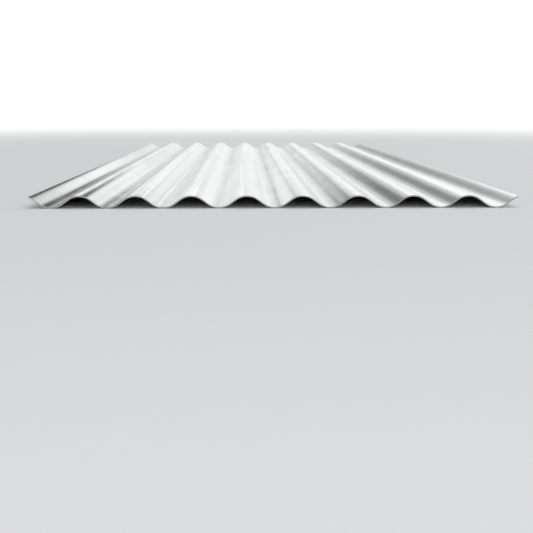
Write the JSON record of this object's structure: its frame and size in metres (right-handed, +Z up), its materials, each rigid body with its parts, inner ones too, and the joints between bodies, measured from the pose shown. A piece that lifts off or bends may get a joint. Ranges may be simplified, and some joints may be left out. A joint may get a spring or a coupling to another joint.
{
  "type": "corrugated metal sheet",
  "caption": "Galvanised steel sheet roll-formed into equal rounded waves that run its whole length, cut square at the ends, for roofing and cladding.",
  "frame": {"origin": "middle of the sheet, on the level surface that its troughs rest on", "axes": "+Y along the corrugations, +X across them, +Z up out of the sheet"},
  "size_m": [0.66, 1.8, 0.0173],
  "materials": {
    "galvanised_steel": "satin zinc coating with spangle"
  },
  "bodies": {
    "root": {"corrugated_sheet": "galvanised_steel"}
  },
  "joints": []
}
